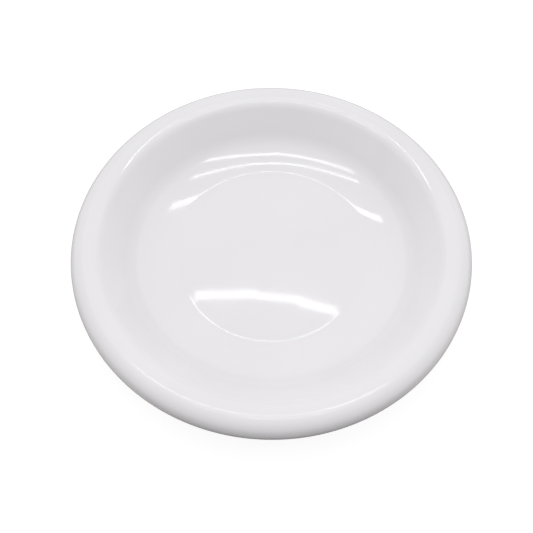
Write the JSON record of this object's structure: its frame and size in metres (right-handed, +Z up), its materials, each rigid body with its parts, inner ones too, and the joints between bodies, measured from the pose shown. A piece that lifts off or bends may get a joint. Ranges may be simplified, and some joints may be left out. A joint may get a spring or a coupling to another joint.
{
  "type": "evaporating dish",
  "caption": "Round shallow porcelain evaporating dish with a thick rolled rim, a sloping wall, a flat floor and a bare foot ring.",
  "frame": {"origin": "centre of the foot ring, on the surface that the dish stands on", "axes": "+Z up along the dish's axis of rotation, X and Y along any two radii at right angles"},
  "size_m": [0.1, 0.1, 0.0139],
  "materials": {
    "porcelain": "matt unglazed biscuit, bare only on the foot ring",
    "glaze": "smooth high-gloss white glaze"
  },
  "bodies": {
    "root": {"porcelain_body": "porcelain", "glaze_coat": "glaze", "base_glaze": "glaze"}
  },
  "joints": []
}
